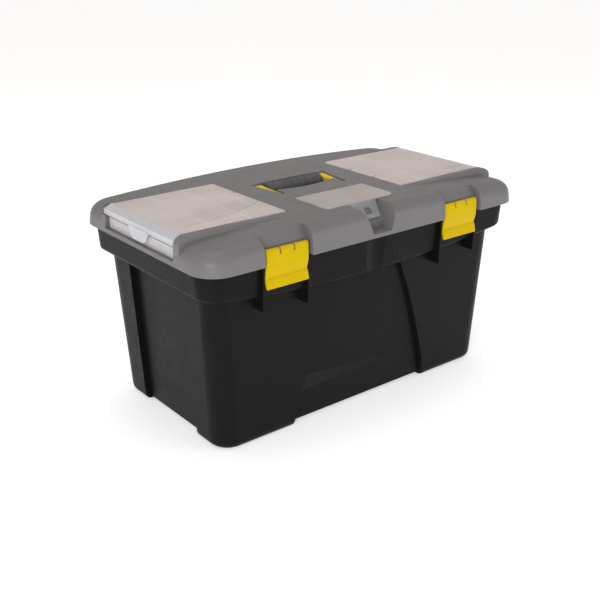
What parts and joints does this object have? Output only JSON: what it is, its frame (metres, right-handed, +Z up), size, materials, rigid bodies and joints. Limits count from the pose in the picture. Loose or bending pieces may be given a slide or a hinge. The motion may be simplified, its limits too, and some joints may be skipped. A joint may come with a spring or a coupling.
{
  "type": "toolbox with tray",
  "caption": "Portable plastic toolbox with latched hinged lid, folding handle, lift-out organizers in the lid, a centre compartment and a lift-out tray.",
  "frame": {"origin": "middle of the footprint at the undersides of the feet", "axes": "+X along the box to the right seen from the latches, +Y towards the lid hinge, +Z up"},
  "size_m": [0.56, 0.32, 0.2994],
  "materials": {
    "tub_black": "fine satin moulded black",
    "tray_black": "satin moulded black",
    "lid_grey": "fine satin moulded grey",
    "latch_yellow": "semi-gloss yellow",
    "grip_grey": "soft dark grey",
    "clear_frosted": "translucent, lightly frosted",
    "steel": "plain wire pin"
  },
  "bodies": {
    "tub": {"tub": "tub_black", "lid_hinge_pin_left": "steel", "lid_hinge_pin_right": "steel"},
    "tray": {"tray": "tray_black"},
    "lid": {"lid": "lid_grey", "latch_pin_left": "steel", "latch_pin_right": "steel", "handle_pivot_pin_left": "steel", "handle_pivot_pin_right": "steel", "centre_cover_pin": "steel"},
    "latch_left": {"latch_left": "latch_yellow"},
    "latch_right": {"latch_right": "latch_yellow"},
    "handle": {"handle_frame": "latch_yellow", "handle_grip": "grip_grey"},
    "bin_left": {"organizer_bin_left": "clear_frosted", "organizer_dividers_left": "clear_frosted"},
    "bin_right": {"organizer_bin_right": "clear_frosted", "organizer_dividers_right": "clear_frosted"},
    "bin_cover_left": {"organizer_cover_left": "clear_frosted"},
    "bin_cover_right": {"organizer_cover_right": "clear_frosted"},
    "centre_cover": {"centre_cover": "clear_frosted"}
  },
  "joints": [
    {"name": "lid_hinge", "type": "hinge", "parent": "tub", "child": "lid", "pos_m": [0, 0.1535, 0.251], "axis": [-1, 0, 0], "range_deg": [0, 105]},
    {"name": "tray_lift", "type": "slide", "parent": "tub", "child": "tray", "axis": [0, 0, 1], "range_m": [0, 0.062]},
    {"name": "latch_left_turn", "type": "hinge", "parent": "lid", "child": "latch_left", "pos_m": [-0.1563, -0.1505, 0.2735], "axis": [-1, 0, 0], "range_deg": [0, 110]},
    {"name": "latch_right_turn", "type": "hinge", "parent": "lid", "child": "latch_right", "pos_m": [0.1563, -0.1505, 0.2735], "axis": [-1, 0, 0], "range_deg": [0, 110]},
    {"name": "handle_fold", "type": "hinge", "parent": "lid", "child": "handle", "pos_m": [0, -0.0125, 0.2895], "axis": [1, 0, 0], "range_deg": [0, 90]},
    {"name": "bin_left_lift", "type": "slide", "parent": "lid", "child": "bin_left", "axis": [0, 0, 1], "range_m": [0, 0.04]},
    {"name": "bin_right_lift", "type": "slide", "parent": "lid", "child": "bin_right", "axis": [0, 0, 1], "range_m": [0, 0.04]},
    {"name": "bin_cover_left_turn", "type": "hinge", "parent": "bin_left", "child": "bin_cover_left", "pos_m": [-0.107, 0, 0.2942], "axis": [0, 1, 0], "range_deg": [0, 105]},
    {"name": "bin_cover_right_turn", "type": "hinge", "parent": "bin_right", "child": "bin_cover_right", "pos_m": [0.107, 0, 0.2942], "axis": [0, -1, 0], "range_deg": [0, 105]},
    {"name": "centre_cover_turn", "type": "hinge", "parent": "lid", "child": "centre_cover", "pos_m": [0, -0.0489, 0.2942], "axis": [-1, 0, 0], "range_deg": [0, 95]}
  ],
  "couplings": [
    {"joint": "tray_lift", "follows": "lid_hinge", "m_per_rad": 0.0338}
  ]
}
